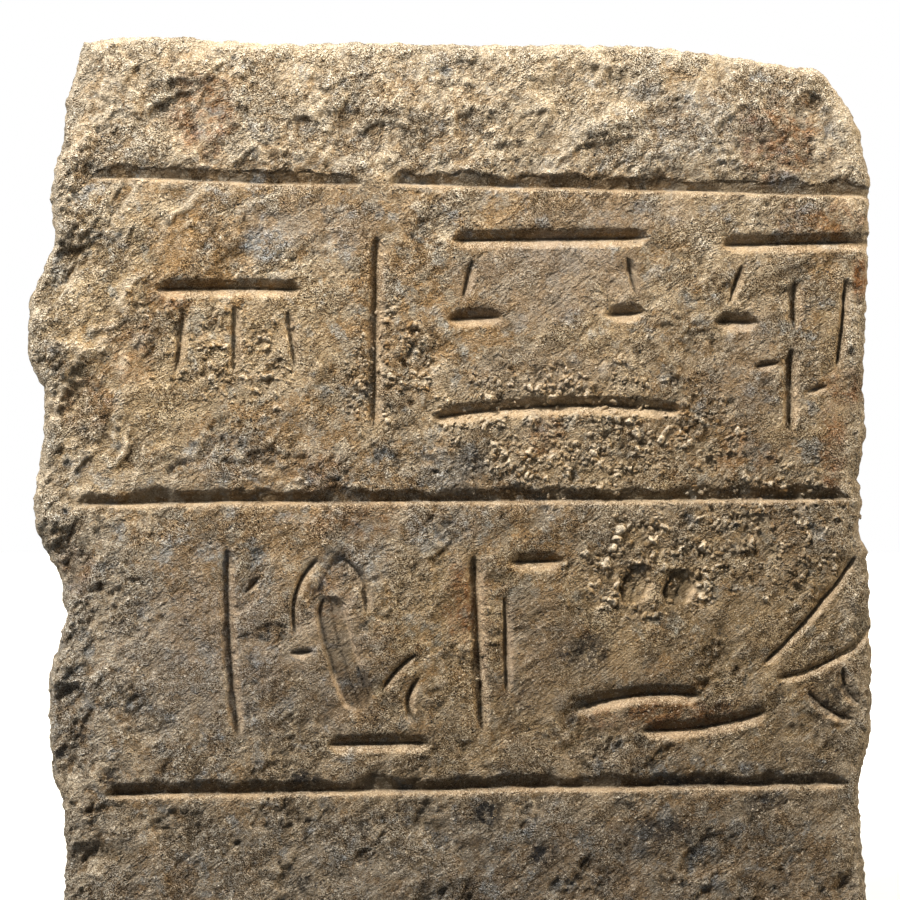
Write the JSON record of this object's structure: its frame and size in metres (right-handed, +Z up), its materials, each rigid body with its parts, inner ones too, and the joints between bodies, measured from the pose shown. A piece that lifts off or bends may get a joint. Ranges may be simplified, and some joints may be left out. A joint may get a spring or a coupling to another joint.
{
  "type": "limestone relief panel",
  "caption": "Upright limestone wall block with ruled lines and rows of shallow carved strokes on its face; broken left side and top, flat back and underside.",
  "frame": {"origin": "middle of the flat underside, on the plane it stands on", "axes": "+Z up, the carved face looks along -Y and the flat back along +Y, +X to the right of someone who faces the carving"},
  "size_m": [0.38, 0.08, 0.4],
  "materials": {
    "limestone": "weathered, sandy limestone with iron stains, dark specks and a pale crust"
  },
  "bodies": {
    "root": {"relief_panel": "limestone"}
  },
  "joints": []
}
